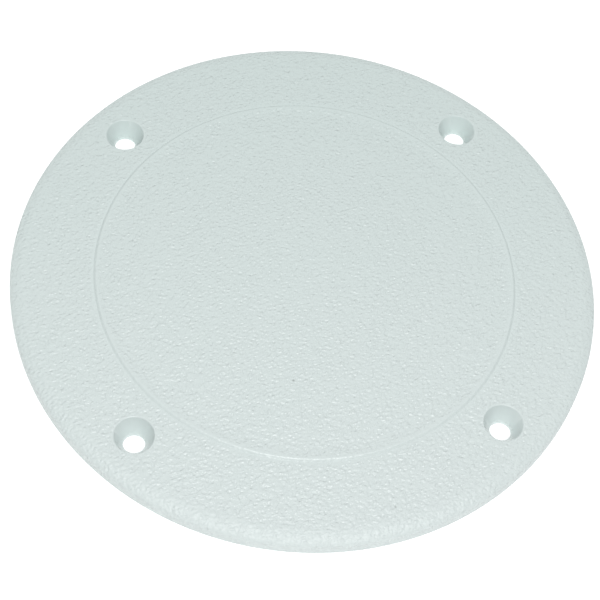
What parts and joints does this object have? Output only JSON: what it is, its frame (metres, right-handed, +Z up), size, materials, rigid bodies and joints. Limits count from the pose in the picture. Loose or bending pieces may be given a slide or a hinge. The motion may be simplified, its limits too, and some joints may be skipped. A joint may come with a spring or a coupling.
{
  "type": "deck inspection plate",
  "caption": "Round moulded cover plate with a soft rim and a slightly raised middle, held down over a deck opening by countersunk screws.",
  "frame": {"origin": "centre of the plate's underside, on the deck plane", "axes": "+Z up out of the deck, screw holes on the diagonals between X and Y"},
  "size_m": [0.1429, 0.1428, 0.0066],
  "materials": {
    "plate": "white moulded plastic with a cool tint and a fine pebble grain, satin"
  },
  "bodies": {
    "root": {"deck_plate": "plate"}
  },
  "joints": []
}
